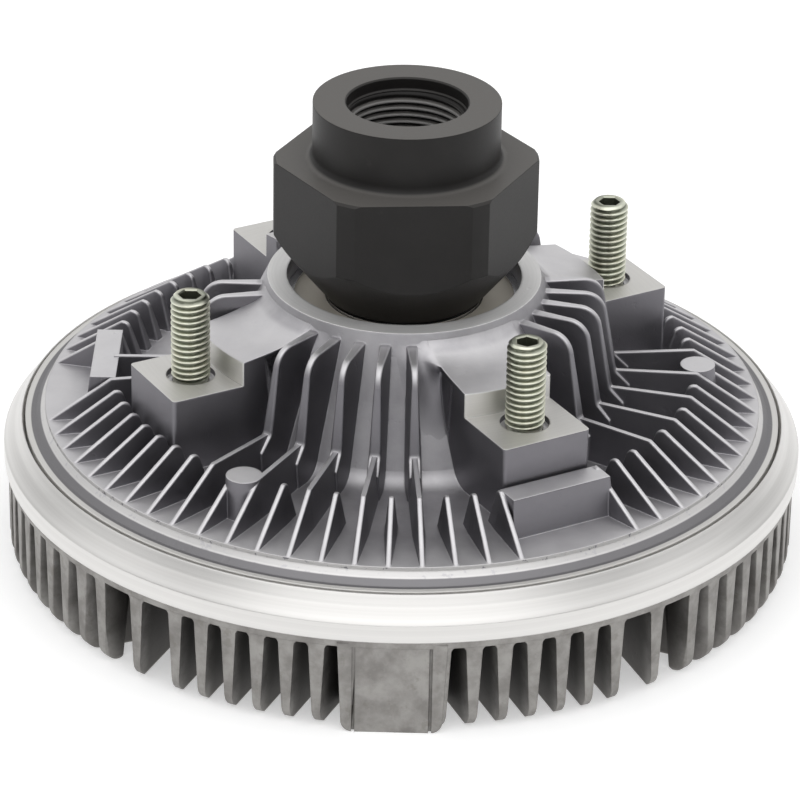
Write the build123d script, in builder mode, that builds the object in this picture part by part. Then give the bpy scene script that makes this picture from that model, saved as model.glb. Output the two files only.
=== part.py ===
from build123d import *
from math import atan, cos, degrees, radians, sin, tan
import os

# A viscous fan clutch, standing on its rear fins with the threaded end up. The finned housing and the
# finned cover are die castings that turn with the fan. The black input shaft, with its hexagon and threaded
# collar, carries the rotor inside them on one ball bearing. A spiral bimetal strip under the cover turns the
# valve that lets the fluid in.
# Lengths are in millimetres, the axis is Z, and z = 0 is the plane of the fin tips.
# Directions are angles about Z from +X, and the front of the clutch is -Y.

os.makedirs("parts", exist_ok=True)

# Cover, rim and rear fins
rim_radius = 82.5
fin_height = 17.2
cover_wall = 3.0
seat_step = 3.0
rim_wall_height = 3.7
rim_wall_rise = 0.3
rim_bevel_run = 2.4
rim_bevel_height = 2.9
lip_width = 1.4
lip_height = 2.1
lip_groove = 0.6
lip_slope = 1.4
rim_hollow_width = 9.0
rim_hollow_edge = 3.0
rim_hollow_rise = 1.6
rim_hollow_lip = 1.3
fin_tip_width = 1.3
fin_tip_round = 0.5
fin_root_width = 3.2
fin_root_round = 1.2
fin_pitch = 6.0
front_fin_start = 8.7
front_fin_count = 7
front_fin_last = 8.3
side_fin_start = 1.1
side_fin_count = 10
sector_count = 8
fin_setback = 0.5
fin_inset = 0.3
fin_corner = 4.0
fin_inner_radius = 30.0
fin_slope_start = 4.0
fin_inner_lift = 6.0
bulge_inset = 3.5
bulge_depth = 5.2
bulge_slope = 6.0
bulge_wall_slope = 3.0
floor_corner = 1.5
pad_block_width = 15.0
pad_block_depth = 12.0
pad_block_angle = -90.4
pad_block_corner = 2.4
pad_block_setback = 0.1
pad_groove_width = 0.6
pad_groove_depth = 0.8

# Housing
joint_clearance = 0.1
flange_thickness = 6.1
land_width = 2.0
plate_rise = 3.1
plate_edge_inset = 4.1
plate_edge_height = 0.8
plate_groove_width = 0.7
plate_groove_height = 1.35
bead_rise = 2.2
bead_height = 1.6
bead_depth = 0.7
bead_slope = 0.4
housing_wall = 3.7
flange_width = 5.5
neck_rim_width = 4.0
neck_opening_radius = 24.05
neck_height = 27.7
neck_foot_radius = 41.1
crease_radius = 5.0

# Ribs on the housing
rib_pairs = 35
rib_phase = -86.2
rib_height = 8.3
rib_crest_width = 1.0
rib_base_width = 2.5
rib_crest_round = 0.42
rib_end_inset = 0.2
rib_slope_run = 12.7
rib_short_slope = 3.0
rib_short_run = 4.6
rib_short_round = 1.6
rib_tall_height = 25.6
rib_tall_reach = 41.4
rib_tall_foot = 44.0
rib_tall_corner = 4.5
rib_tall_hollow = 2.0
rib_tall_lean = 0.6
rib_tall_crest_width = 1.1
rib_tall_draft = 2.6

# Stud bosses, bars and ejector bosses
boss_count = 4
boss_angle = 30.0
boss_width = 19.6
boss_depth = 14.5
boss_height = 16.0
boss_corner = 0.8
pilot_radius = 43.3
ledge_height = 5.0
ledge_slope = 9.0
boss_rib_window = 17.0
webless_angle = 155.5
webless_window = 18.0
bar_count = 3
bar_angle = -60.0
bar_width = 22.0
bar_inset = 10.0
bar_depth = 5.3
bar_height = 8.1
bar_draft = 1.2
bar_rib_window = 9.5
ejector_angle = 0.0
ejector_inset = 13.0
ejector_radius = 3.6
ejector_draft = 0.5

# Studs
stud_circle = 98.0
stud_diameter = 8.0
stud_stand = 17.8
stud_depth = 13.0
stud_clearance = 0.05
stud_allowance = 0.05
stud_pitch_radius = 3.6
stud_relief = 0.95
stud_relief_depth = 1.2
stud_chamfer = 0.9
stud_key = 4.0
stud_key_depth = 4.5

# Bearing
bearing_bore = 25.0
bearing_outside = 52.0
bearing_width = 15.0
bearing_recess = 4.1
bearing_fit = 0.02
ball_diameter = 7.9
ball_count = 9
ball_play = 0.1
race_depth = 0.75
shield_thickness = 0.6
shield_recess = 0.4
shield_gap = 0.3
cage_thickness = 2.0
cage_width = 10.0
snap_ring_thickness = 1.4
snap_ring_depth = 1.3
snap_ring_width = 2.9
snap_ring_gap = 12.0
snap_ear_turn = 5.0
snap_ear_radius = 2.4
snap_ear_hole = 0.9
snap_play = 0.1

# Input shaft
hex_across_flats = 48.5
hex_corner_radius = 26.9
hex_length = 16.2
hex_turn = 4.3
hex_top_bevel = 0.5
cone_angle = 51.4
cone_foot_radius = 16.2
spacer_radius = 15.3
spacer_length = 0.6
collar_radius = 19.05
collar_length = 12.1
collar_fillet = 1.6
thread_diameter = 24.0
thread_depth = 24.0
mouth_radius = 12.3
mouth_depth = 2.4
mouth_bevel = 0.3
drill_angle = 31.0
rotor_seat_radius = 11.0
shaft_bevel = 0.6
shaft_end_gap = 0.8

# Rotor and labyrinth
rotor_play = 2.0
rotor_web = 3.4
rotor_gap = 0.6
rotor_hub_radius = 15.6
rotor_hub_foot = 2.0
rotor_fit = 0.02
land_pitch = 6.0
land_thickness = 1.5
housing_lands = 4
outer_land_inset = 6.5
land_gap = 0.7
rotor_hole_circle = 32.0
rotor_hole_radius = 4.0
rotor_hole_count = 6

# Separator plate, wiper and rivets
separator_thickness = 1.2
separator_inset = 15.5
rivet_edge = 3.5
rivet_radius = 1.4
rivet_head_radius = 2.6
rivet_count = 6
rivet_depth = 2.2
port_inset = 8.0
port_length = 8.0
port_width = 4.5
port_lap = 1.5
return_hole_radius = 1.5
wiper_span = 12.0
wiper_thickness = 1.4
wiper_angle = 140.0
wiper_play = 0.5

# Valve and bimetal
valve_radius = 3.0
valve_clearance = 0.05
valve_bush_radius = 6.5
valve_bush_height = 3.0
valve_bush_drop = 1.6
arm_thickness = 0.8
arm_width = 8.0
arm_gap = 0.15
arm_hub_radius = 5.5
arm_seat_radius = 2.2
clip_thickness = 0.6
clip_radius = 4.6
clip_groove = 0.7
shaft_seal_section = 1.45
cover_seal_section = 1.8
cover_seal_inset = 2.5
seal_room = 0.1
coil_strip = 0.9
coil_width = 5.6
coil_pitch = 2.6
coil_turns = 5
coil_inner_radius = 4.6
coil_clip_gap = 0.6
coil_tab = 3.4
coil_tang_play = 0.05
coil_end_gap = 0.3
bracket_thickness = 1.5
bracket_width = 10.0
bracket_length = 10.0
bracket_edge = 0.6
bracket_gap = 1.2
lug_width = 4.5
lug_gap = 0.1
bracket_rivet_radius = 1.2
bracket_rivet_spacing = 6.0
bracket_rivet_depth = 2.2
bracket_head_height = 0.9
bracket_head_radius = 2.1
bracket_head_round = 0.5

# Levels worked out from the sizes above
disc_underside = fin_height
cover_floor = disc_underside + cover_wall
flange_seat = cover_floor + seat_step
rim_wall_bottom = cover_floor + rim_wall_rise
rim_wall_top = rim_wall_bottom + rim_wall_height
bevel_top = rim_wall_top + rim_bevel_height
lip_top = bevel_top + lip_height
land_level = flange_seat + flange_thickness
plate_level = land_level + plate_rise
ceiling_level = plate_level - housing_wall
rib_crest_level = plate_level + rib_height
tall_crest_level = plate_level + rib_tall_height
pad_level = plate_level + boss_height
ledge_level = pad_level + ledge_height
neck_level = plate_level + neck_height
bearing_top = neck_level - bearing_recess
bearing_bottom = bearing_top - bearing_width
stud_top = pad_level + stud_stand
bulge_underside = disc_underside - bulge_depth
reservoir_floor = bulge_underside + cover_wall
separator_top = cover_floor + separator_thickness
rotor_bottom = separator_top + rotor_gap
rotor_top = rotor_bottom + rotor_web

# Radii worked out from the sizes above
bevel_radius = rim_radius - rim_bevel_run
lip_radius = bevel_radius - lip_width
cover_inner_radius = lip_radius - lip_groove
flange_radius = cover_inner_radius - joint_clearance
neck_rim_radius = neck_opening_radius + neck_rim_width
neck_slope = (neck_foot_radius - neck_rim_radius) / neck_height
bearing_radius = bearing_outside / 2
bore_radius = bearing_bore / 2
pitch_radius = (bearing_radius + bore_radius) / 2
groove_radius = ball_diameter / 2 + ball_play
outer_land = pitch_radius + groove_radius - race_depth
inner_land = pitch_radius - groove_radius + race_depth
cavity_radius = flange_radius - flange_width
plate_edge_radius = flange_radius - plate_edge_inset
rib_outer_radius = plate_edge_radius - rib_end_inset
rib_knee_radius = rib_outer_radius - rib_slope_run
rib_short_foot = rib_knee_radius - rib_short_run
rib_short_crest = rib_short_foot + rib_short_slope
boss_outer = pilot_radius + boss_depth
bar_outer = plate_edge_radius - bar_inset
bar_inner = bar_outer - bar_depth
ejector_circle = plate_edge_radius - ejector_inset
rotor_radius = cavity_radius - rotor_play
outer_land_radius = cavity_radius - outer_land_inset
separator_radius = cavity_radius - separator_inset
rivet_circle = separator_radius - rivet_edge
bulge_radius = rivet_circle - bulge_inset
port_radius = bulge_radius - port_inset
cover_seal_radius = flange_radius - cover_seal_inset
fin_slope_radius = bulge_radius - fin_slope_start
stud_radius = stud_diameter / 2
thread_radius = thread_diameter / 2
embed = 1.0


def polygon_revolved(points, mode=Mode.ADD):
    """Turn a closed outline, given as radius and height, about the axis."""
    with BuildSketch(Plane.XZ) as outline:
        with BuildLine():
            Polyline(*points, close=True)
        make_face()
    revolve(outline.sketch, axis=Axis.Z, mode=mode)


def ring_block(inner, outer, low, high, mode=Mode.ADD):
    """A plain ring between two radii and two heights."""
    polygon_revolved([(inner, low), (outer, low), (outer, high), (inner, high)], mode)


def flat_frustum(low, high, low_span, high_span, low_width, high_width):
    """A drafted block along +X, from a lower to an upper rectangle."""
    with BuildSketch(Plane.XY.offset(low)) as foot:
        with Locations(((low_span[0] + low_span[1]) / 2, 0)):
            Rectangle(low_span[1] - low_span[0], low_width)
    with BuildSketch(Plane.XY.offset(high)) as crest:
        with Locations(((high_span[0] + high_span[1]) / 2, 0)):
            Rectangle(high_span[1] - high_span[0], high_width)
    loft(sections=[foot.sketch.face(), crest.sketch.face()], ruled=True)


def angle_between(a, b):
    """The smaller angle between two directions, in degrees."""
    return abs((a - b + 180) % 360 - 180)


# Ribs of the housing. Each has a low stretch with a rounded crest that slopes down to the plate's edge. The
# long ones climb the neck as a tall web with a rounded corner.
rib_foot_level = plate_level - embed
web_toe = rib_tall_hollow + embed
low_draft = (rib_base_width - rib_crest_width) / 2 / rib_height
crest_slope = atan(rib_height / rib_slope_run)


def drafted_to_crest(corner, half_width, draft, slope):
    """Cut the rib's flanks to their draft, from a crest that falls away at that slope from a corner."""
    for side in (1, -1):
        flank = Plane(
            origin=(corner[0], side * half_width, corner[1]),
            z_dir=(draft * sin(slope), side * cos(slope), draft * cos(slope)),
        )
        split(bisect_by=flank, keep=Keep.BOTTOM)


def low_rib(inner_edge, radii):
    """The low part of a rib along +X: an inner edge, the crest, the knee and the slope to the plate's edge."""
    knee = (rib_knee_radius, rib_crest_level)
    with BuildPart() as level_stretch:
        with BuildSketch(Plane.XZ):
            with BuildLine():
                edge = FilletPolyline(*inner_edge, knee, radius=radii)
                Polyline(edge @ 1, (rib_knee_radius, rib_foot_level), edge @ 0)
            make_face()
        extrude(amount=rib_base_width, both=True)
        drafted_to_crest(knee, rib_crest_width / 2, low_draft, 0)
    with BuildPart() as slope_stretch:
        with BuildSketch(Plane.XZ):
            with BuildLine():
                Polyline(
                    knee, (rib_outer_radius, plate_level), (rib_outer_radius, rib_foot_level),
                    (rib_knee_radius, rib_foot_level), close=True,
                )
            make_face()
        extrude(amount=rib_base_width, both=True)
        drafted_to_crest(knee, rib_crest_width / 2, low_draft, crest_slope)
        add(level_stretch.part)
        crown = [
            e for e in slope_stretch.edges()
            if abs(abs(e.center().Y) - rib_crest_width / 2) < low_draft
            and rib_short_crest - rib_short_round < e.center().X < rib_outer_radius - rib_end_inset
            and e.center().Z > plate_level
        ]
        fillet(crown, radius=rib_crest_round)
    return slope_stretch.part


with BuildPart() as short_rib:
    add(low_rib(
        [(rib_short_foot, rib_foot_level), (rib_short_crest, rib_crest_level)], rib_short_round,
    ))

with BuildPart() as tall_web:
    with BuildSketch(Plane.XZ):
        with BuildLine():
            web_edge = FilletPolyline(
                (neck_rim_radius, tall_crest_level),
                (rib_tall_reach - rib_tall_lean, tall_crest_level),
                (rib_tall_foot, rib_crest_level),
                (rib_tall_foot + web_toe, rib_crest_level - web_toe),
                radius=(rib_tall_corner, rib_tall_hollow),
            )
            Polyline(
                web_edge @ 1,
                (rib_tall_foot + web_toe, rib_foot_level),
                (neck_foot_radius - embed, rib_foot_level),
                web_edge @ 0,
            )
        make_face()
    extrude(amount=rib_base_width, both=True)
    drafted_to_crest(
        (rib_tall_reach, tall_crest_level), rib_tall_crest_width / 2, tan(radians(rib_tall_draft)), radians(45),
    )
    web_crown = [
        e for e in tall_web.edges()
        if e.center().Z > rib_crest_level + embed and e.center().X > neck_rim_radius + embed
        and abs(e.center().Y) > rib_crest_round
    ]
    fillet(web_crown, radius=rib_crest_round)

with BuildPart() as long_rib:
    add(tall_web.part)
    add(low_rib([(neck_foot_radius, rib_foot_level), (neck_foot_radius, rib_crest_level)], embed))

with BuildPart() as barred_rib:
    add(long_rib.part)
    ring_block(bar_inner + embed, rim_radius, rib_foot_level - embed, tall_crest_level, Mode.SUBTRACT)

# One stud boss along +X: a square block with a machined pad, and a raised ledge up to the neck that ends in
# the turned pilot wall.
with BuildPart() as stud_boss:
    ledge_rise = (pilot_radius - neck_opening_radius) * tan(radians(ledge_slope))
    with BuildSketch(Plane.XZ):
        with BuildLine():
            Polyline(
                (neck_opening_radius, rib_foot_level),
                (boss_outer, rib_foot_level),
                (boss_outer, ledge_level),
                (pilot_radius, ledge_level),
                (neck_opening_radius, ledge_level + ledge_rise),
                close=True,
            )
        make_face()
    extrude(amount=boss_width / 2, both=True)
    fillet(stud_boss.edges().filter_by(Axis.Z).group_by(Axis.X)[-1], radius=boss_corner)
    ring_block(pilot_radius, rim_radius, pad_level, ledge_level + embed, Mode.SUBTRACT)

with BuildPart() as bar_pad:
    flat_frustum(
        rib_foot_level, plate_level + bar_height,
        (bar_inner - bar_draft / 2, bar_outer + bar_draft), (bar_inner, bar_outer),
        bar_width + bar_draft, bar_width,
    )

with BuildPart() as ejector_boss:
    with Locations((ejector_circle, 0, rib_foot_level)):
        Cone(
            ejector_radius + ejector_draft, ejector_radius, rib_crest_level - rib_foot_level,
            align=(Align.CENTER, Align.CENTER, Align.MIN),
        )

# Where each rib stands, and which form it takes beside the bosses and bars. Four long ribs at the left of the
# back have no web, so they start on the plate as the short ones do.
boss_angles = [boss_angle + 360 / boss_count * k for k in range(boss_count)]
bar_angles = [bar_angle + 360 / bar_count * k for k in range(bar_count)]
ejector_angles = [ejector_angle + 360 / bar_count * k for k in range(bar_count)]
rib_step = 360 / rib_pairs
castings = []
for k in range(rib_pairs):
    long_angle = rib_phase + rib_step * k
    short_angle = long_angle + rib_step / 2
    near_boss = min(angle_between(long_angle, a) for a in boss_angles) < boss_rib_window
    behind_bar = min(angle_between(long_angle, a) for a in bar_angles) < bar_rib_window
    webless = angle_between(long_angle, webless_angle) < webless_window
    if webless:
        castings.append(short_rib.part.rotate(Axis.Z, long_angle))
    elif not near_boss:
        form = barred_rib if behind_bar else long_rib
        castings.append(form.part.rotate(Axis.Z, long_angle))
    elif not behind_bar:
        castings.append(short_rib.part.rotate(Axis.Z, long_angle))
    if min(angle_between(short_angle, a) for a in bar_angles) > bar_rib_window:
        castings.append(short_rib.part.rotate(Axis.Z, short_angle))
for angle in boss_angles:
    castings.append(stud_boss.part.rotate(Axis.Z, angle))
for angle in bar_angles:
    castings.append(bar_pad.part.rotate(Axis.Z, angle))
for angle in ejector_angles:
    castings.append(ejector_boss.part.rotate(Axis.Z, angle))

# Housing: the cast cone and plate with the ribs and bosses on it, turned out inside for the bearing, the
# snap ring and the annular lands that mesh with the rotor.
bead_low = flange_seat + bead_rise
bead_high = bead_low + bead_height
housing_land_radii = [outer_land_radius - land_pitch * k for k in range(housing_lands)]
land_bottom = rotor_top + land_gap
hub_bottom = bearing_bottom - snap_ring_thickness * 2
hub_inner_radius = neck_rim_radius + neck_slope * (neck_level - hub_bottom) - housing_wall

with BuildPart() as finned_housing:
    with BuildSketch(Plane.XZ):
        with BuildLine():
            neck_side = FilletPolyline(
                (neck_rim_radius, neck_level),
                (neck_foot_radius, plate_level),
                (plate_edge_radius, plate_level),
                radius=crease_radius,
            )
            Polyline(
                neck_side @ 1,
                (plate_edge_radius, plate_level - plate_edge_height),
                (plate_edge_radius + plate_groove_width, land_level + plate_groove_height),
                (flange_radius - land_width, land_level),
                (flange_radius, land_level),
                (flange_radius, bead_high),
                (flange_radius - bead_depth, bead_high - bead_slope),
                (flange_radius - bead_depth, bead_low + bead_slope),
                (flange_radius, bead_low),
                (flange_radius, flange_seat),
                (0, flange_seat),
                (0, neck_level),
                neck_side @ 0,
            )
        make_face()
    revolve(axis=Axis.Z)
    add(castings)
    inside = [(0, flange_seat - embed), (cavity_radius, flange_seat - embed), (cavity_radius, ceiling_level)]
    for radius in housing_land_radii:
        inside.append((radius + land_thickness / 2, ceiling_level))
        inside.append((radius + land_thickness / 2, land_bottom))
        inside.append((radius - land_thickness / 2, land_bottom))
        inside.append((radius - land_thickness / 2, ceiling_level))
    inside += [
        (hub_inner_radius + neck_slope * (hub_bottom - ceiling_level), ceiling_level),
        (hub_inner_radius, hub_bottom),
        (bearing_radius, hub_bottom),
        (bearing_radius, bearing_bottom - snap_ring_thickness - snap_play),
        (bearing_radius + snap_ring_depth, bearing_bottom - snap_ring_thickness - snap_play),
        (bearing_radius + snap_ring_depth, bearing_bottom),
        (bearing_radius, bearing_bottom),
        (bearing_radius, bearing_top),
        (neck_opening_radius, bearing_top),
        (neck_opening_radius, neck_level + embed),
        (0, neck_level + embed),
    ]
    polygon_revolved(inside, Mode.SUBTRACT)
    with BuildSketch(Plane.XY.offset(pad_level)):
        with PolarLocations(stud_circle / 2, boss_count, start_angle=boss_angle):
            Circle(stud_pitch_radius + stud_clearance)
    extrude(amount=-stud_depth - stud_clearance, mode=Mode.SUBTRACT)
    with BuildSketch(Plane.XY.offset(pad_level)):
        with PolarLocations(stud_circle / 2, boss_count, start_angle=boss_angle):
            Circle(stud_radius + stud_relief)
    extrude(amount=-stud_relief_depth, mode=Mode.SUBTRACT)
finned_housing.part.label = "finned_housing"

# Cover: a disc with the machined rim that is rolled over the housing's flange, eight sectors of straight
# parallel fins under it, a bulge for the fluid reservoir and a bush for the valve shaft.
seal_room_width = cover_seal_section + 2 * seal_room
seal_floor = flange_seat - cover_seal_section - seal_room
bush_top = reservoir_floor + valve_bush_height
bush_bottom = bulge_underside - valve_bush_drop
shaft_seal_radius = valve_radius + valve_clearance + shaft_seal_section / 2
shaft_seal_level = (bush_top + bush_bottom) / 2
shaft_seal_room = shaft_seal_section + 2 * seal_room
bore_wall = valve_radius + valve_clearance
coil_outer_radius = coil_inner_radius + coil_pitch * coil_turns
bracket_start = coil_outer_radius + bracket_gap
bracket_rivet_spots = [
    (bracket_start + bracket_length - bracket_head_radius - bracket_edge, side * bracket_rivet_spacing / 2)
    for side in (1, -1)
]

# The outline of one sector of fins, from the reservoir's wall to the rim.
disc_edge_radius = rim_radius - fin_setback
fin_end_radius = disc_edge_radius - fin_inset
fin_top_level = cover_floor - embed / 2
slot_top_level = cover_floor - rim_hollow_lip
sector_angle = 360 / sector_count
sector_reach = fin_end_radius * sin(radians(sector_angle / 2))

with BuildPart() as fin_envelope:
    with BuildSketch(Plane.XZ):
        with BuildLine():
            fin_edge = FilletPolyline(
                (fin_slope_radius, 0),
                (fin_end_radius, 0),
                (fin_end_radius, fin_top_level),
                radius=fin_corner,
            )
            Polyline(
                fin_edge @ 1,
                (bulge_radius + bulge_slope / 2, fin_top_level),
                (bulge_radius - bulge_slope, bulge_underside + embed),
                (fin_inner_radius, bulge_underside + embed),
                (fin_inner_radius, fin_inner_lift),
                fin_edge @ 0,
            )
        make_face()
    revolve(axis=Axis.Z, revolution_arc=sector_angle)


def fin_sector(offsets):
    """Parallel fins along +X at those offsets in Y. Their tips are rounded, and so are the slots' corners."""
    tip, root = fin_tip_width / 2, fin_root_width / 2
    flare = root + fin_root_round
    with BuildPart() as sector:
        with BuildSketch(Plane.YZ):
            for y in offsets:
                with BuildLine():
                    fin_side = FilletPolyline(
                        (y - flare, slot_top_level), (y - root, slot_top_level), (y - tip, 0),
                        (y + tip, 0), (y + root, slot_top_level), (y + flare, slot_top_level),
                        radius=(fin_root_round, fin_tip_round, fin_tip_round, fin_root_round),
                    )
                    Polyline(
                        fin_side @ 1, (y + flare, fin_top_level), (y - flare, fin_top_level), fin_side @ 0,
                    )
                make_face()
        extrude(amount=rim_radius)
        add(fin_envelope.part.rotate(Axis.Z, -sector_angle / 2), mode=Mode.INTERSECT)
    return sector.part


# The sectors mirror each other about both axes. Beside the front and the back the rows are wider apart at the
# end away from the axis. The front ones leave room for the solid block.
front_fins = [front_fin_start - sector_reach + fin_pitch * k for k in range(front_fin_count)]
front_fins.append(sector_reach - front_fin_last)
back_fins = [front_fins[0] - fin_pitch] + front_fins
side_fins = [side_fin_start - sector_reach + fin_pitch * k for k in range(side_fin_count)]
fins = []
for facing, first_fins in ((-90, front_fins), (90, back_fins)):
    for side in (1, -1):
        for k, offsets in enumerate((first_fins, side_fins)):
            sector = fin_sector([side * y for y in offsets])
            fins.append(sector.rotate(Axis.Z, facing + side * sector_angle * (k + 0.5)))

# The solid block between the fins at the front, with a narrow groove down each side of its outer face.
with BuildPart() as pad_block:
    pad_foot = pad_block_width / 2 + fin_root_width
    pad_crest = pad_block_width / 2 + fin_tip_width + embed
    pad_face = fin_end_radius - pad_block_setback
    with BuildSketch(Plane.YZ.offset(pad_face)):
        with BuildLine():
            FilletPolyline(
                (-pad_foot, fin_top_level),
                (-pad_crest, 0),
                (pad_crest, 0),
                (pad_foot, fin_top_level),
                radius=pad_block_corner,
            )
            Line((pad_foot, fin_top_level), (-pad_foot, fin_top_level))
        make_face()
    extrude(amount=-pad_block_depth)
    with BuildSketch(Plane.YZ.offset(pad_face)):
        with Locations((-pad_block_width / 2, slot_top_level / 2), (pad_block_width / 2, slot_top_level / 2)):
            Rectangle(pad_groove_width, slot_top_level)
    extrude(amount=-pad_groove_depth, mode=Mode.SUBTRACT)

with BuildPart() as finned_cover:
    polygon_revolved([
        (bore_wall, bush_bottom),
        (valve_bush_radius, bush_bottom),
        (valve_bush_radius + 1, bulge_underside),
        (bulge_radius + bulge_slope / 3 - bulge_slope, bulge_underside),
        (bulge_radius + bulge_slope / 3, disc_underside),
        (rim_radius - rim_hollow_edge - rim_hollow_width, disc_underside),
        (rim_radius - rim_hollow_edge, disc_underside + rim_hollow_rise),
        (disc_edge_radius, cover_floor - rim_hollow_lip),
        (disc_edge_radius, rim_wall_bottom),
        (rim_radius, rim_wall_bottom),
        (rim_radius, rim_wall_top),
        (bevel_radius, bevel_top),
        (lip_radius, lip_top),
        (cover_inner_radius, lip_top - lip_slope),
        (cover_inner_radius, bead_high - joint_clearance),
        (cover_inner_radius - bead_depth, bead_high - bead_slope - joint_clearance),
        (cover_inner_radius - bead_depth, bead_low + bead_slope + joint_clearance),
        (cover_inner_radius, bead_low + joint_clearance),
        (cover_inner_radius, flange_seat),
        (cover_seal_radius + seal_room_width / 2, flange_seat),
        (cover_seal_radius + seal_room_width / 2, seal_floor),
        (cover_seal_radius - seal_room_width / 2, seal_floor),
        (cover_seal_radius - seal_room_width / 2, flange_seat),
        (cavity_radius, flange_seat),
        (cavity_radius - floor_corner, cover_floor),
        (bulge_radius, cover_floor),
        (bulge_radius - bulge_wall_slope, reservoir_floor),
        (valve_bush_radius, reservoir_floor),
        (valve_bush_radius, bush_top),
        (bore_wall, bush_top),
        (bore_wall, shaft_seal_level + shaft_seal_room / 2),
        (bore_wall + shaft_seal_room, shaft_seal_level + shaft_seal_room / 2),
        (bore_wall + shaft_seal_room, shaft_seal_level - shaft_seal_room / 2),
        (bore_wall, shaft_seal_level - shaft_seal_room / 2),
    ])
    add(fins)
    add(pad_block.part.rotate(Axis.Z, pad_block_angle))
    with BuildSketch(Plane.XY.offset(cover_floor)):
        with PolarLocations(rivet_circle, rivet_count):
            Circle(rivet_radius + valve_clearance)
    extrude(amount=-rivet_depth - joint_clearance, mode=Mode.SUBTRACT)
    with BuildSketch(Plane.XY.offset(bulge_underside)):
        with Locations(*bracket_rivet_spots):
            Circle(bracket_rivet_radius + valve_clearance)
    extrude(amount=bracket_rivet_depth + joint_clearance, mode=Mode.SUBTRACT)
finned_cover.part.label = "finned_cover"

# Fan studs: four set screws with a socket for the key in the upper end. The tapped end is drawn at its pitch
# diameter, where the two threads fill each other, and the free end at its outer one.
with BuildPart() as fan_studs:
    with BuildSketch(Plane.XY.offset(pad_level - stud_depth)):
        with PolarLocations(stud_circle / 2, boss_count, start_angle=boss_angle):
            Circle(stud_pitch_radius)
    extrude(amount=stud_depth)
    with BuildSketch(Plane.XY.offset(pad_level)):
        with PolarLocations(stud_circle / 2, boss_count, start_angle=boss_angle):
            Circle(stud_radius - stud_allowance)
    extrude(amount=stud_stand)
    stud_rims = fan_studs.edges().filter_by(GeomType.CIRCLE).group_by(Axis.Z)
    chamfer(stud_rims[0] + stud_rims[-1], length=stud_chamfer)
    with BuildSketch(Plane.XY.offset(stud_top)):
        with PolarLocations(stud_circle / 2, boss_count, start_angle=boss_angle):
            RegularPolygon(radius=stud_key / 2, side_count=6, major_radius=False)
    extrude(amount=-stud_key_depth, mode=Mode.SUBTRACT)
fan_studs.part.label = "fan_studs"

# Ball bearing: two rings, nine balls in a cage, and a shield pressed into the outer ring at each face.
bearing_middle = (bearing_top + bearing_bottom) / 2

with BuildPart() as bearing_outer_ring:
    ring_block(outer_land, bearing_radius - bearing_fit, bearing_bottom, bearing_top)
    with Locations((0, 0, bearing_middle)):
        Torus(pitch_radius, groove_radius, mode=Mode.SUBTRACT)
bearing_outer_ring.part.label = "bearing_outer_ring"

with BuildPart() as bearing_inner_ring:
    ring_block(bore_radius, inner_land, bearing_bottom, bearing_top)
    with Locations((0, 0, bearing_middle)):
        Torus(pitch_radius, groove_radius, mode=Mode.SUBTRACT)
bearing_inner_ring.part.label = "bearing_inner_ring"

with BuildPart() as bearing_balls:
    with Locations((0, 0, bearing_middle)):
        with PolarLocations(pitch_radius, ball_count):
            Sphere(ball_diameter / 2)
bearing_balls.part.label = "bearing_balls"

with BuildPart() as bearing_cage:
    cage_inner = pitch_radius - cage_thickness / 2
    cage_outer = pitch_radius + cage_thickness / 2
    ring_block(cage_inner, cage_outer, bearing_middle - cage_width / 2, bearing_middle + cage_width / 2)
    with Locations((0, 0, bearing_middle)):
        with PolarLocations(pitch_radius, ball_count):
            Cylinder(groove_radius, 2 * cage_thickness, rotation=(0, 90, 0), mode=Mode.SUBTRACT)
bearing_cage.part.label = "bearing_cage"

shield_inner = inner_land + shield_gap
shield_outer = outer_land - bearing_fit
with BuildPart() as bearing_front_shield:
    front_face = bearing_top - shield_recess
    ring_block(shield_inner, shield_outer, front_face - shield_thickness, front_face)
bearing_front_shield.part.label = "bearing_front_shield"

with BuildPart() as bearing_rear_shield:
    rear_face = bearing_bottom + shield_recess
    ring_block(shield_inner, shield_outer, rear_face, rear_face + shield_thickness)
bearing_rear_shield.part.label = "bearing_rear_shield"

# Snap ring under the bearing, with two ears for the pliers.
clip_outside = bearing_radius + snap_ring_depth - snap_play
clip_middle = clip_outside - snap_ring_width
ear_angle = degrees(atan(snap_ring_gap / 2 / clip_outside)) + snap_ear_turn
with BuildPart() as bearing_snap_ring:
    with BuildSketch(Plane.XY.offset(bearing_bottom - snap_play / 2)):
        Circle(clip_outside)
        Circle(clip_middle, mode=Mode.SUBTRACT)
        with Locations((clip_outside, 0)):
            Rectangle(4 * snap_ring_width, snap_ring_gap, mode=Mode.SUBTRACT)
        with PolarLocations(
            clip_middle, 2, start_angle=-ear_angle, angular_range=2 * ear_angle, endpoint=True
        ):
            Circle(snap_ear_radius)
            Circle(snap_ear_hole, mode=Mode.SUBTRACT)
    extrude(amount=-snap_ring_thickness)
bearing_snap_ring.part.label = "bearing_snap_ring"

# Input shaft: one forging with the threaded collar, the hexagon, the cone under it, and the seats for the
# bearing and the rotor.
cone_foot_level = bearing_top + spacer_length
hex_foot_level = cone_foot_level + (hex_corner_radius - cone_foot_radius) * tan(radians(cone_angle))
hex_top_level = hex_foot_level + hex_length
collar_top = hex_top_level + collar_length
shaft_end = separator_top + shaft_end_gap
thread_top = collar_top - mouth_depth
thread_bottom = thread_top - thread_depth
drill_tip = thread_bottom - thread_radius * tan(radians(drill_angle))
cone_reach = hex_corner_radius + embed

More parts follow.
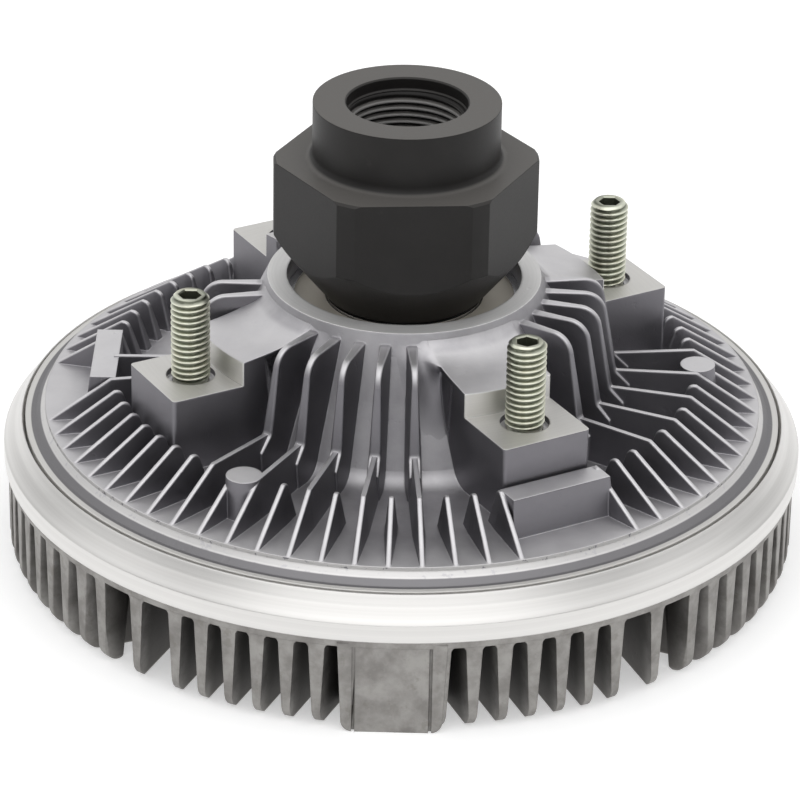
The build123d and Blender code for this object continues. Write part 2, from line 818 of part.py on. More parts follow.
with BuildPart() as input_shaft:
    with BuildSketch(Plane.XY.offset(cone_foot_level)):
        RegularPolygon(
            radius=hex_across_flats / 2, side_count=6, major_radius=False, rotation=hex_turn,
        )
        Circle(hex_corner_radius, mode=Mode.INTERSECT)
    extrude(amount=hex_top_level - cone_foot_level)
    polygon_revolved([
        (0, cone_foot_level),
        (cone_foot_radius, cone_foot_level),
        (cone_reach, cone_foot_level + (cone_reach - cone_foot_radius) * tan(radians(cone_angle))),
        (cone_reach, hex_top_level - hex_top_bevel - embed),
        (hex_corner_radius - hex_top_bevel, hex_top_level),
        (0, hex_top_level),
    ], Mode.INTERSECT)
    ring_block(0, collar_radius, hex_top_level, collar_top)
    collar_foot = input_shaft.edges().filter_by(GeomType.CIRCLE).filter_by(
        lambda edge: abs(edge.radius - collar_radius) < 0.01
    ).sort_by(Axis.Z)[0]
    fillet(collar_foot, radius=collar_fillet)
    polygon_revolved([
        (0, shaft_end),
        (rotor_seat_radius - shaft_bevel, shaft_end),
        (rotor_seat_radius, shaft_end + shaft_bevel),
        (rotor_seat_radius, bearing_bottom),
        (bore_radius - bearing_fit, bearing_bottom),
        (bore_radius - bearing_fit, bearing_top),
        (spacer_radius, bearing_top),
        (spacer_radius, cone_foot_level),
        (0, cone_foot_level),
    ])
    polygon_revolved([
        (0, drill_tip),
        (thread_radius, thread_bottom),
        (thread_radius, thread_top - (mouth_radius - thread_radius)),
        (mouth_radius, thread_top),
        (mouth_radius, collar_top - mouth_bevel),
        (mouth_radius + mouth_bevel, collar_top),
        (0, collar_top),
    ], Mode.SUBTRACT)
input_shaft.part.label = "input_shaft"

# Rotor: the clutch plate, pressed on the shaft against the bearing, with annular lands that mesh with the
# lands of the housing.
land_top = ceiling_level - land_gap
rotor_outline = [
    (rotor_seat_radius + rotor_fit, rotor_bottom),
    (rotor_radius, rotor_bottom),
    (rotor_radius, rotor_top),
]
for radius in housing_land_radii:
    middle = radius + land_pitch / 2
    rotor_outline += [
        (middle + land_thickness / 2, rotor_top),
        (middle + land_thickness / 2, land_top),
        (middle - land_thickness / 2, land_top),
        (middle - land_thickness / 2, rotor_top),
    ]
rotor_outline += [
    (rotor_hub_radius + rotor_hub_foot, rotor_top),
    (rotor_hub_radius, rotor_top + rotor_hub_foot),
    (rotor_hub_radius, bearing_bottom),
    (rotor_seat_radius + rotor_fit, bearing_bottom),
]

with BuildPart() as clutch_rotor:
    polygon_revolved(rotor_outline)
    with BuildSketch(Plane.XY.offset(rotor_bottom)):
        with PolarLocations(rotor_hole_circle, rotor_hole_count):
            Circle(rotor_hole_radius)
    extrude(amount=rotor_web, mode=Mode.SUBTRACT)
clutch_rotor.part.label = "clutch_rotor"

# Separator plate over the reservoir, with the inlet port, the return hole and six flush rivets, and the
# wiper that pumps the fluid back.
with BuildPart() as separator_plate:
    with BuildSketch(Plane.XY.offset(cover_floor)):
        Circle(separator_radius)
        with Locations((port_radius, 0)):
            SlotOverall(port_length, port_width, mode=Mode.SUBTRACT)
        with PolarLocations(port_radius, 1, start_angle=wiper_angle):
            Circle(return_hole_radius, mode=Mode.SUBTRACT)
    extrude(amount=separator_thickness)
    with Locations(Plane.XY.offset(separator_top)):
        with PolarLocations(rivet_circle, rivet_count):
            CounterSinkHole(
                rivet_radius + valve_clearance, rivet_head_radius + valve_clearance,
                counter_sink_angle=90,
            )
separator_plate.part.label = "separator_plate"

with BuildPart() as separator_rivets:
    with BuildSketch(Plane.XY.offset(cover_floor - rivet_depth)):
        with PolarLocations(rivet_circle, rivet_count):
            Circle(rivet_radius)
    extrude(amount=rivet_depth + separator_thickness)
    head_height = rivet_head_radius - rivet_radius
    with Locations((0, 0, separator_top - head_height)):
        with PolarLocations(rivet_circle, rivet_count):
            Cone(
                rivet_radius, rivet_head_radius, head_height,
                align=(Align.CENTER, Align.CENTER, Align.MIN),
            )
separator_rivets.part.label = "separator_rivets"

with BuildPart() as wiper_block:
    wiper_plane = Plane(
        origin=(0, 0, 0),
        x_dir=(cos(radians(wiper_angle)), sin(radians(wiper_angle)), 0),
        z_dir=(sin(radians(wiper_angle)), -cos(radians(wiper_angle)), 0),
    )
    with BuildSketch(wiper_plane):
        with BuildLine():
            Polyline(
                (separator_radius + wiper_play, cover_floor),
                (cavity_radius - floor_corner - wiper_play, cover_floor),
                (cavity_radius - floor_corner - wiper_play, cover_floor + wiper_thickness),
                (separator_radius + wiper_play, cover_floor + wiper_thickness),
                close=True,
            )
        make_face()
    revolve(axis=Axis.Z, revolution_arc=wiper_span)
wiper_block.part.label = "wiper_block"

# Valve: a shaft through the cover's bush, the arm that covers the port, a clip, a seal ring, and the spiral
# bimetal strip whose inner end sits in the slot of the shaft and whose outer end bears on the bracket.
arm_top = cover_floor - arm_gap
arm_bottom = arm_top - arm_thickness
clip_top = bush_bottom - seal_room
clip_bottom = clip_top - clip_thickness
coil_top = clip_bottom - coil_clip_gap
coil_bottom = coil_top - coil_width
valve_end = coil_bottom - coil_end_gap
arm_tip = port_radius + port_length / 2 + port_lap - arm_width / 2

with BuildPart() as valve_shaft:
    polygon_revolved([
        (0, valve_end),
        (valve_radius, valve_end),
        (valve_radius, clip_bottom - seal_room / 2),
        (valve_radius - clip_groove, clip_bottom - seal_room / 2),
        (valve_radius - clip_groove, clip_top + seal_room / 2),
        (valve_radius, clip_top + seal_room / 2),
        (valve_radius, arm_bottom),
        (arm_seat_radius, arm_bottom),
        (arm_seat_radius, arm_top),
        (0, arm_top),
    ])
    with BuildSketch(Plane.XY.offset(valve_end)):
        Rectangle(2 * (valve_radius + embed), coil_strip + 2 * coil_tang_play)
    extrude(amount=coil_top + seal_room - valve_end, mode=Mode.SUBTRACT)
valve_shaft.part.label = "valve_shaft"

with BuildPart() as valve_arm:
    with BuildSketch(Plane.XY.offset(arm_bottom)):
        Circle(arm_hub_radius)
        with Locations((arm_tip, 0)):
            Circle(arm_width / 2)
        make_hull()
        Circle(arm_seat_radius + bearing_fit, mode=Mode.SUBTRACT)
    extrude(amount=arm_thickness)
valve_arm.part.label = "valve_arm"

with BuildPart() as valve_clip:
    with BuildSketch(Plane.XY.offset(clip_bottom)):
        Circle(clip_radius)
        Circle(valve_radius - clip_groove + seal_room / 2, mode=Mode.SUBTRACT)
        with Locations((0, clip_radius)):
            Rectangle(2 * (valve_radius - clip_groove), 2 * clip_radius, mode=Mode.SUBTRACT)
    extrude(amount=clip_thickness)
valve_clip.part.label = "valve_clip"

with BuildPart() as valve_shaft_seal:
    with Locations((0, 0, shaft_seal_level)):
        Torus(shaft_seal_radius, shaft_seal_section / 2)
valve_shaft_seal.part.label = "valve_shaft_seal"

with BuildPart() as cover_seal:
    with Locations((0, 0, seal_floor + (seal_room + cover_seal_section) / 2)):
        Torus(cover_seal_radius, cover_seal_section / 2)
cover_seal.part.label = "cover_seal"

with BuildPart() as bimetal_coil:
    with BuildSketch(Plane.XY.offset(coil_bottom)):
        with BuildLine() as spiral:
            Line((-valve_radius, 0), (coil_inner_radius, 0))
            for turn in range(coil_turns):
                near = coil_inner_radius + coil_pitch * turn
                CenterArc((0, 0), near, 0, 180)
                CenterArc((coil_pitch / 2, 0), near + coil_pitch / 2, 180, 180)
            Line((coil_outer_radius, 0), (coil_outer_radius + coil_tab, 0))
        trace(spiral.edges(), line_width=coil_strip)
    extrude(amount=coil_width)
bimetal_coil.part.label = "bimetal_coil"

with BuildPart() as coil_bracket:
    bracket_underside = bulge_underside - bracket_thickness
    with BuildSketch(Plane.XY.offset(bracket_underside)):
        with Locations((bracket_start + bracket_length / 2, 0)):
            Rectangle(bracket_length, bracket_width)
        with Locations(*bracket_rivet_spots):
            Circle(bracket_rivet_radius + valve_clearance, mode=Mode.SUBTRACT)
    extrude(amount=bracket_thickness)
    with BuildSketch(Plane.XY.offset(coil_bottom)):
        with Locations((bracket_start, -coil_strip / 2 - lug_gap)):
            Rectangle(lug_width, bracket_thickness, align=(Align.MIN, Align.MAX))
    extrude(amount=bracket_underside - coil_bottom)
coil_bracket.part.label = "coil_bracket"

with BuildPart() as bracket_rivets:
    with BuildSketch(Plane.XY.offset(bracket_underside)):
        with Locations(*bracket_rivet_spots):
            Circle(bracket_rivet_radius)
    extrude(amount=bracket_thickness + bracket_rivet_depth)
    with BuildSketch(Plane.XY.offset(bracket_underside)):
        with Locations(*bracket_rivet_spots):
            Circle(bracket_head_radius)
    extrude(amount=-bracket_head_height)
    head_rims = bracket_rivets.edges().filter_by(GeomType.CIRCLE).group_by(Axis.Z)[0]
    fillet(head_rims, radius=bracket_head_round)
bracket_rivets.part.label = "bracket_rivets"

for piece in (
    finned_housing, finned_cover, fan_studs, bearing_outer_ring, bearing_inner_ring, bearing_balls,
    bearing_cage, bearing_front_shield, bearing_rear_shield, bearing_snap_ring, input_shaft, clutch_rotor,
    separator_plate, separator_rivets, wiper_block, valve_shaft, valve_arm, valve_clip, valve_shaft_seal,
    cover_seal, bimetal_coil, coil_bracket, bracket_rivets,
):
    export_step(piece.part, f"parts/{piece.part.label}.step")
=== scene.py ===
from math import cos, pi, radians, sin

import bpy
import numpy as np
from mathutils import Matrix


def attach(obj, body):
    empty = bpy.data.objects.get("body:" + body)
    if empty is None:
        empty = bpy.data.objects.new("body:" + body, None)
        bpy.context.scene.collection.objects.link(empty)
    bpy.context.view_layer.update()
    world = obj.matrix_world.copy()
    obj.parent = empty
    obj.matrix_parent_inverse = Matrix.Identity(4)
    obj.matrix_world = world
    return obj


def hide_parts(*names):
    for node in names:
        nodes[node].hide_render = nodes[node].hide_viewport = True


# A viscous fan clutch stands on its rear fins, threaded end up. The frame holds its pieces at their real
# size in metres, with the axis of rotation on Z, the fin tips at z = 0 and the front at -Y. Sizes of the
# clutch are in millimetres below, and those of the studio in metres.
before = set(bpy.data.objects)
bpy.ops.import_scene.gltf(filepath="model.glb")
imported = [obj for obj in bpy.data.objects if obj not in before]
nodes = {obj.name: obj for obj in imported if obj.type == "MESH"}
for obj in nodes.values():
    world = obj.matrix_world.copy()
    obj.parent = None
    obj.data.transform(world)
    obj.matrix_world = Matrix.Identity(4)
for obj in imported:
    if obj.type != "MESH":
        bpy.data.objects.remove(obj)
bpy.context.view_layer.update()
mm = 0.001


# Finned housing: an aluminium die casting with a satin skin, grey with a faint violet cast. Its stud pads,
# its neck rim and the land at its edge are turned or milled bright.
class Value:
    """A shader output that takes Python's operators. Each one adds its Math node to the maker's tree."""

    def __init__(self, maker, socket):
        self.maker = maker
        self.socket = socket

    def __add__(self, other):
        return self.maker.math("ADD", self, other)

    def __radd__(self, other):
        return self.maker.math("ADD", other, self)

    def __sub__(self, other):
        return self.maker.math("SUBTRACT", self, other)

    def __rsub__(self, other):
        return self.maker.math("SUBTRACT", other, self)

    def __mul__(self, other):
        return self.maker.math("MULTIPLY", self, other)

    def __rmul__(self, other):
        return self.maker.math("MULTIPLY", other, self)


class NodeMaker:
    """Adds nodes to one node tree. Everything goes through node(), mostly by the short calls below it."""

    def __init__(self, tree):
        self.tree = tree

    def node(self, kind, inputs=None, output=0, **settings):
        """Add a node: its settings are set first, then the values or links of its inputs."""
        added = self.tree.nodes.new("ShaderNode" + kind)
        for name, setting in settings.items():
            setattr(added, name, setting)
        for key, value in (inputs or {}).items():
            self.feed(added.inputs[key], value)
        return Value(self, added.outputs[output])

    def feed(self, socket, value):
        """Link a value to a socket, or set the socket to a plain number or colour."""
        if isinstance(value, Value):
            self.tree.links.new(value.socket, socket)
        else:
            socket.default_value = value

    def math(self, operation, first, second=0.0):
        return self.node("Math", {0: first, 1: second}, operation=operation)

    def largest(self, first, *others):
        """The largest of some values, by a chain of Math nodes."""
        for other in others:
            first = self.math("MAXIMUM", first, other)
        return first

    def step(self, value, low, high):
        """A smooth step from 0 at low to 1 at high. With low above high it falls instead."""
        return self.node(
            "MapRange", {"Value": value, "From Min": low, "From Max": high},
            output="Result", interpolation_type="SMOOTHSTEP",
        )

    def band(self, value, low, high, edge):
        """1 between low and high, falling to 0 over the edge on each side."""
        return self.step(value, low - edge, low) * self.step(value, high + edge, high)

    def mix(self, share, first, second):
        """The first colour where the share is 0, the second where it is 1."""
        return self.node("Mix", {0: share, 6: first, 7: second}, output=2, data_type="RGBA")

    def point(self, x, y, z):
        return self.node("CombineXYZ", {0: x, 1: y, 2: z})


class Finish(NodeMaker):
    """One surface finish. x, y and z are the place in millimetres, radius is the distance from the axis, and
    upward is 1 on a face that looks up and 0 on a wall."""

    def __init__(self, name):
        self.material = bpy.data.materials.new(name)
        self.material.use_nodes = True
        super().__init__(self.material.node_tree)
        self.shader = self.tree.nodes["Principled BSDF"]
        metres = self.node("TexCoord", output="Object")
        facing = self.node("TexCoord", output="Normal")
        self.place = self.node("VectorMath", {0: metres, "Scale": 1 / mm}, operation="SCALE")
        self.x = self.node("SeparateXYZ", {0: self.place}, output="X")
        self.y = self.node("SeparateXYZ", {0: self.place}, output="Y")
        self.z = self.node("SeparateXYZ", {0: self.place}, output="Z")
        self.radius = self.math("SQRT", self.x * self.x + self.y * self.y)
        self.upward = self.node("SeparateXYZ", {0: facing}, output="Z")

    def noise(self, size, detail=3.0, roughness=0.5, place=None):
        """Cloudy noise from 0 to 1, whose largest blotches are about that many millimetres across."""
        return self.node(
            "TexNoise",
            {"Vector": place or self.place, "Scale": 1 / size, "Detail": detail, "Roughness": roughness},
            output="Fac",
        )

    def dress(self, colour, roughness, metallic=1.0, height=None, depth=1.0, rounding=0.0):
        """Feed the shader. Height is a bump of that depth in millimetres, and rounding softens the edges."""
        self.feed(self.shader.inputs["Base Color"], colour)
        self.feed(self.shader.inputs["Roughness"], roughness)
        self.feed(self.shader.inputs["Metallic"], metallic)
        normal = None
        if rounding:
            normal = self.node("Bevel", {"Radius": rounding * mm}, samples=8)
        if height is not None:
            bumped = {"Height": height, "Distance": depth * mm, "Strength": 1.0}
            if normal is not None:
                bumped["Normal"] = normal
            normal = self.node("Bump", bumped)
        if normal is not None:
            self.feed(self.shader.inputs["Normal"], normal)


def cast_skin(finish, light, dark, blotch=9.0):
    """The colour and the height of a die-cast skin: clouds of tone, fine grain and a few shallow pits."""
    clouds = finish.noise(blotch, detail=4.0, roughness=0.6)
    grain = finish.noise(0.55, roughness=0.6)
    pits = finish.step(finish.noise(1.9, detail=2.0), 0.34, 0.27)
    tone = finish.mix(finish.step(clouds, 0.3, 0.7), dark, light)
    speckled = finish.mix(finish.step(grain, 0.55, 0.85) * 0.35, tone, light)
    height = grain * 0.6 + clouds * 0.4 - pits * 0.7
    return speckled, height, clouds


def turning_lines(finish, pitch):
    """Lines a lathe leaves: noise that changes with radius and height alone, so it runs round the axis."""
    across = finish.point(finish.radius, finish.z, 0.0)
    return finish.noise(pitch, detail=4.0, roughness=0.7, place=across)


def paint(name, finish):
    """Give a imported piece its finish."""
    nodes[name].data.materials.clear()
    nodes[name].data.materials.append(finish.material)


pad_height = 48.4
neck_height = 60.1
neck_outer = 28.05
cone_slope = 2.123
pilot_radius = 43.3
plate_height = 32.4
flash_inner = 73.85
flash_outer = 74.75
land_inner = 76.8
crest_start = 1.2
crest_full = 3.0
outskirts_start = 58.0
outskirts_full = 72.0
level_play = 0.04
neck_play = 0.03
facet_play = 0.12
mask_edge = 0.1

housing_finish = Finish("cast_aluminium_housing")
radius, height, upward = housing_finish.radius, housing_finish.z, housing_finish.upward
skin, skin_height, clouds = cast_skin(housing_finish, (0.60, 0.59, 0.605, 1), (0.47, 0.46, 0.48, 1))

# Painted shade: the walls are painted darker, and so is the groove round the plate. Painted highlight and
# wear:
# the crests of the ribs are painted brighter. Painted light: the plate is painted lighter towards its
# outskirts.
wall = housing_finish.step(upward, 0.75, 0.1)
skin = housing_finish.mix(wall * 0.85, skin, (0.17, 0.165, 0.182, 1))
cone_height = neck_height - (radius - neck_outer) * cone_slope
base_height = housing_finish.largest(cone_height, plate_height)
# Painted highlight with wear: the crests of the ribs are painted brighter.
crest = housing_finish.step(height - base_height, crest_start, crest_full)
crest = crest * housing_finish.step(upward, 0.5, 0.95)
skin = housing_finish.mix(crest * 0.5, skin, (0.86, 0.85, 0.86, 1))
# Painted light: the plate is painted lighter towards its outskirts, where the ribs shade it less.
outskirts_painted_light = housing_finish.step(radius, outskirts_start, outskirts_full) * (1 - wall) * 0.5
skin = housing_finish.mix(outskirts_painted_light, skin, (0.78, 0.77, 0.78, 1))
# Painted shade: beyond the plate's edge, the groove is painted dark.
groove_painted_shade = housing_finish.step(radius, flash_outer - mask_edge, flash_outer + 2 * mask_edge)
skin = housing_finish.mix(groove_painted_shade * 0.8, skin, (0.13, 0.127, 0.135, 1))

# Bare metal: the pads, the pilot's wall, the land and, between its nicks, the flash at the plate's edge.
on_pad = housing_finish.band(height, pad_height - level_play, pad_height + level_play, level_play / 2)
on_pad = on_pad * housing_finish.step(upward, 0.9, 0.97)
on_pilot = housing_finish.band(radius, pilot_radius - facet_play, pilot_radius + facet_play, mask_edge / 2)
on_pilot = on_pilot * housing_finish.step(height, pad_height, pad_height + mask_edge)
on_pilot = on_pilot * housing_finish.step(upward, 0.2, 0.1)
on_land = housing_finish.step(radius, land_inner - mask_edge, land_inner + mask_edge)
nicks = housing_finish.step(housing_finish.noise(1.6, roughness=0.7), 0.36, 0.42)
on_flash = housing_finish.band(radius, flash_inner, flash_outer, facet_play) * nicks * 0.55
milled = housing_finish.largest(on_pad, on_flash, on_land, on_pilot)
lines = turning_lines(housing_finish, 0.35)
bare_metal = housing_finish.mix(lines, (0.66, 0.65, 0.63, 1), (0.78, 0.77, 0.75, 1))
colour = housing_finish.mix(milled, skin, bare_metal)

on_neck = housing_finish.step(height, neck_height - 2 * neck_play, neck_height - neck_play)
neck_metal = housing_finish.mix(lines, (0.74, 0.735, 0.73, 1), (0.86, 0.855, 0.85, 1))
colour = housing_finish.mix(on_neck, colour, neck_metal)
housing_finish.dress(
    colour=colour,
    roughness=0.44 + clouds * 0.12 - on_flash * 0.1 + on_pad * 0.06 + on_neck * 0.16,
    height=skin_height * (1 - milled) + lines * milled * 0.25,
    depth=0.035,
    rounding=0.5,
)
paint("finned_housing", housing_finish)


# Ledge fillets: part of the housing's casting. Its skin sweeps down from the neck in a hollow curve onto the
# flat ledge behind each stud pad, and fades into the cone in a low shoulder on both sides of the boss.
def surface(name, points, close_rows=False, caps=False):
    """A mesh over a grid of points, rows by columns. Columns close into a ring, and rows too if asked.

    Each face joins four neighbours of the grid. Caps shut the first and the last ring with one face each. The
    shading is smooth, apart from edges that turn by more than crisp_degrees.
    """
    crisp_degrees = 38
    rows, columns = points.shape[:2]
    index = np.arange(rows * columns).reshape(rows, columns)
    if close_rows:
        index = np.vstack([index, index[:1]])
    right = np.roll(index, -1, axis=1)
    faces = np.stack([index[:-1], right[:-1], right[1:], index[1:]], axis=-1).reshape(-1, 4).tolist()
    if caps:
        faces.append(index[0, ::-1].tolist())
        faces.append(index[-1].tolist())
    mesh = bpy.data.meshes.new(name)
    mesh.from_pydata(points.reshape(-1, 3), [], faces)
    mesh.shade_smooth()
    mesh.set_sharp_from_angle(angle=radians(crisp_degrees))
    piece = bpy.data.objects.new(name, mesh)
    bpy.context.scene.collection.objects.link(piece)
    return piece


stud_bearings = (30, 120, 210, 300)
boss_half_width = 9.8
ledge_edge = 53.4
ledge_slope = 0.158
fillet_start = 37.5
corner_radius = 30.7
fillet_top = 58.9
edge_share = 0.33
shoulder_foot = 40.0
shoulder_level = 53.0
shoulder_depth = 2.0
shoulder_reach = 7.0
round_from = 0.25
wall_gap = 0.03
cone_cover = 0.06
sunk = 0.6
lower_steps = 12
upper_steps = 12
boss_rows = 25
shoulder_rows = 14


def about_axis(points, degrees):
    """The points turned about the clutch's axis, counterclockwise from above."""
    bearing = radians(degrees)
    return points @ np.array([[cos(bearing), sin(bearing), 0], [-sin(bearing), cos(bearing), 0], [0, 0, 1]])


def falloff(share):
    """1 at share 0, easing to 0 at share 1: half of 1 plus the cosine of pi times the share."""
    return (1 + np.cos(share * pi)) / 2


def ledge_level(outward):
    """The ledge climbs inwards in a straight slope: its edge plus the slope times the way in."""
    return ledge_edge + (pilot_radius - outward) * ledge_slope


def cone_outward(level, across):
    """How far out the neck's cone is, along a line that passes the axis at the distance across.

    It is the square root of the cone's squared radius at that level less the square of across.
    """
    return np.sqrt((neck_outer + (neck_height - level) / cone_slope) ** 2 - across**2)


def hollow(share, across):
    """The fillet's section at the distance across: a curve from the ledge to the cone.

    For a share s of the way it is (1 - s)^2 of its start on the ledge, 2 s (1 - s) of the corner between
    ledge and cone, and s^2 of its end on the cone.
    """
    corner = np.sqrt(corner_radius**2 - across**2)
    start, middle, end = (1 - share) ** 2, 2 * share * (1 - share), share**2
    outward = start * fillet_start + middle * corner + end * cone_outward(fillet_top, across)
    level = start * ledge_level(fillet_start) + middle * ledge_level(corner) + end * fillet_top
    return outward, level


# Rows over the ledge: the hollow curve from edge to edge of the boss. Each row's way back lies in the
# casting.
upper_shares = np.linspace(edge_share, 1, upper_steps)
lower_shares = np.linspace(0, edge_share, lower_steps, endpoint=False)
over_ledge = np.linspace(boss_half_width, -boss_half_width, boss_rows)[:, None]
inner_corner = np.sqrt(corner_radius**2 - over_ledge**2)
ledge_out, ledge_up = hollow(np.concatenate([lower_shares, upper_shares]), over_ledge)
ledge_out = np.hstack([ledge_out, ledge_out[:, -1:] - sunk, inner_corner - sunk, ledge_out[:, :1]])
corner_up = ledge_level(inner_corner)
ledge_up = np.hstack([ledge_up, ledge_up[:, -1:] - sunk, corner_up - sunk, ledge_up[:, :1] - sunk])

# Rows beside the boss stand out from the cone by a bulge. At the boss it has the hollow curve's edge, below
# which it falls with the square of the height. A quarter of the reach on, it has become the round shoulder.
edge_out, edge_up = hollow(upper_shares, boss_half_width)
edge_bulge = edge_out - cone_outward(edge_up, boss_half_width)
lower_up = np.linspace(shoulder_foot, edge_up[0], lower_steps, endpoint=False)
lower_bulge = edge_bulge[0] * ((lower_up - shoulder_foot) / (edge_up[0] - shoulder_foot)) ** 2
shoulder_up = np.concatenate([lower_up, edge_up])
edge_bulge = np.concatenate([lower_bulge, edge_bulge])
shoulder_end = np.where(shoulder_up > shoulder_level, fillet_top, shoulder_foot)
round_bulge = shoulder_depth * falloff((shoulder_up - shoulder_level) / (shoulder_end - shoulder_level))
from_wall = np.linspace(wall_gap, shoulder_reach, shoulder_rows)[:, None]
beside = boss_half_width + from_wall
rounded = np.clip(from_wall / (round_from * shoulder_reach), 0, 1)
bulge = ((1 - rounded) * edge_bulge + rounded * round_bulge) * falloff(from_wall / shoulder_reach)
shoulder_out = cone_outward(shoulder_up, beside) + bulge - cone_cover * np.clip(1 - bulge, 0, 1)
back_up = np.array([fillet_top, (fillet_top + shoulder_foot) / 2, shoulder_foot]) - sunk
shoulder_out = np.hstack([shoulder_out, cone_outward(back_up, beside) - 2 * sunk])
shoulder_up = np.broadcast_to(np.concatenate([shoulder_up, back_up]), shoulder_out.shape)

fillet_out = np.vstack([shoulder_out[::-1], ledge_out, shoulder_out])
fillet_up = np.vstack([shoulder_up, ledge_up, shoulder_up])
fillet_across = np.broadcast_to(np.vstack([beside[::-1], over_ledge, -beside]), fillet_out.shape)
fillet_shape = np.stack([fillet_out, fillet_across, fillet_up], axis=-1)
for number, bearing in enumerate(stud_bearings, start=1):
    fillet = surface(f"ledge_fillet_{number}", about_axis(fillet_shape, bearing) * mm, caps=True)
    fillet.data.materials.append(housing_finish.material)
    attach(fillet, "clutch_body")


# Finned cover: the lower die casting. Its fins keep the rough warm grey skin of the mould, and its rim is
# turned bright, with fine lines round it.
rim_start = 20.4
rim_inner = 77.5
fin_end = 81.7
fin_end_rounding = 0.6
fin_shade = 5.0

cover_finish = Finish("cast_aluminium_cover")
skin, skin_height, clouds = cast_skin(
    cover_finish, (0.38, 0.37, 0.355, 1), (0.24, 0.23, 0.22, 1), blotch=5.0,
)
stains = cover_finish.step(cover_finish.noise(3.2, detail=4.0, roughness=0.65), 0.58, 0.70)
skin = cover_finish.mix(stains * 0.4, skin, (0.2, 0.185, 0.165, 1))
# Painted shade, with soot: the fins are painted darker the deeper they go into the slots between them.
slot_shade_and_soot = cover_finish.step(cover_finish.radius, fin_end - fin_end_rounding, fin_end - fin_shade)
slot_shade_and_soot = slot_shade_and_soot * cover_finish.step(cover_finish.z, 0.1, 0.8)
skin = cover_finish.mix(slot_shade_and_soot * 0.8, skin, (0.11, 0.105, 0.1, 1))
turned = cover_finish.step(cover_finish.z, rim_start - mask_edge, rim_start + mask_edge)
turned = turned * cover_finish.step(cover_finish.radius, rim_inner - 2 * mask_edge, rim_inner)
lines = turning_lines(cover_finish, 0.28)
bands = turning_lines(cover_finish, 1.6)
bright = cover_finish.mix(bands, (0.54, 0.53, 0.515, 1), (0.86, 0.85, 0.835, 1))
cover_finish.dress(
    colour=cover_finish.mix(turned, skin, bright),
    roughness=(0.5 + clouds * 0.12) * (1 - turned) + (0.3 + bands * 0.14) * turned,
    height=skin_height * (1 - turned) + lines * turned * 0.12,
    depth=0.05,
    rounding=0.4,
)
paint("finned_cover", cover_finish)


# Fan studs: four M8 set screws, zinc plated with a pale yellow-green passivation, with a hexagon socket in
# the upper end. The thread is rolled, so its crests are rounded.
def round_about(radius, angle, height):
    """Points from cylinder coordinates: radius times cosine and sine of the angle, and the height."""
    full = np.broadcast_arrays(radius * np.cos(angle), radius * np.sin(angle), height)
    return np.stack(full, axis=-1)


def full_turn(columns):
    """Evenly spaced angles once round the axis."""
    return np.arange(columns) / columns * 2 * pi


def thread_wave(level, pitch, angle):
    """Depth of a rounded right-hand thread at a level and an angle: 0 on the crest and 1 in the root.

    The phase is the level over the pitch, less the angle as a share of a turn. For a share s of the way from
    the crest's flat to the root's flat the depth is 3 s^2 - 2 s^3.
    """
    phase = level / pitch - angle / (2 * pi)
    from_crest = np.abs((phase + 0.5) % 1.0 - 0.5) * 2
    share = np.clip((from_crest - crest_flat) / (1 - crest_flat - root_flat), 0.0, 1.0)
    return share * share * (3 - 2 * share)


crest_flat = 0.14
root_flat = 0.2
stud_radius = 3.95
stud_foot_radius = 3.6
stud_circle_radius = 49.0
stud_bottom = 35.4
stud_top = 66.2
stud_pitch = 1.25
stud_thread_depth = 0.72
stud_chamfer = 0.9
socket_half_width = 2.0
socket_chamfer = 0.25
socket_depth = 4.5
thread_start = pad_height - 0.2
foot_end = thread_start - 0.1
foot_band = 1.0
rows_per_pitch = 14
taper_rows = 8
columns = 60
turn = full_turn(columns)
ring = np.ones(columns)

# Rows from the foot to the socket's bottom: foot, threaded shank, chamfer that cuts the thread, and socket.
levels = np.arange(thread_start, stud_top - stud_chamfer, stud_pitch / rows_per_pitch)[:, None]
wave = thread_wave(levels, stud_pitch, turn)
shank = stud_radius - stud_thread_depth * wave
taper = np.linspace(0, 1, taper_rows)[:, None]
taper_levels = stud_top - stud_chamfer + stud_chamfer * taper
taper_wave = thread_wave(taper_levels, stud_pitch, turn)
taper_shank = np.minimum(stud_radius - stud_thread_depth * taper_wave, stud_radius - stud_chamfer * taper)
hexagon = socket_half_width / np.cos((turn + pi / 6) % (pi / 3) - pi / 6)
radii = np.vstack([
    (stud_foot_radius - stud_chamfer) * ring, stud_foot_radius * ring, stud_foot_radius * ring,
    stud_foot_radius * ring, shank, taper_shank, hexagon + socket_chamfer, hexagon, hexagon,
])
heights = np.vstack([
    stud_bottom * ring, (stud_bottom + stud_chamfer) * ring, (foot_end - foot_band) * ring,
    foot_end * ring, levels * ring, taper_levels * ring,
    stud_top * ring, (stud_top - socket_chamfer) * ring, (stud_top - socket_depth) * ring,
])
stud_shape = round_about(radii, turn, heights) + [stud_circle_radius, 0, 0]

# How deep each point lies in the thread, for a painted shade in the thread's roots and the socket: 1 also at
# the socket's bottom.
groove = np.concatenate([
    np.zeros((4, columns)), wave, taper_wave, np.full((2, columns), 0.5), np.ones((1, columns)),
])

zinc_finish = Finish("zinc_plated_studs")
patches = zinc_finish.noise(3.5)
crest_colour = zinc_finish.mix(patches, (0.72, 0.77, 0.66, 1), (0.82, 0.79, 0.65, 1))
# Painted shade: the thread's roots and the socket are painted dark.
root_shade_share = zinc_finish.node("Attribute", output="Fac", attribute_name="groove")
zinc_finish.dress(
    colour=zinc_finish.mix(root_shade_share * 0.9, crest_colour, (0.10, 0.11, 0.08, 1)),
    roughness=0.3 + zinc_finish.noise(0.4) * 0.12,
    height=zinc_finish.noise(0.3),
    depth=0.01,
)
for number, bearing in enumerate(stud_bearings, start=1):
    stud = surface(f"threaded_stud_{number}", about_axis(stud_shape, bearing) * mm, caps=True)
    stud.data.attributes.new("groove", "FLOAT", "POINT").data.foreach_set("value", groove.ravel())
    stud.data.materials.append(zinc_finish.material)
    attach(stud, "clutch_body")
    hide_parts("fan_studs")


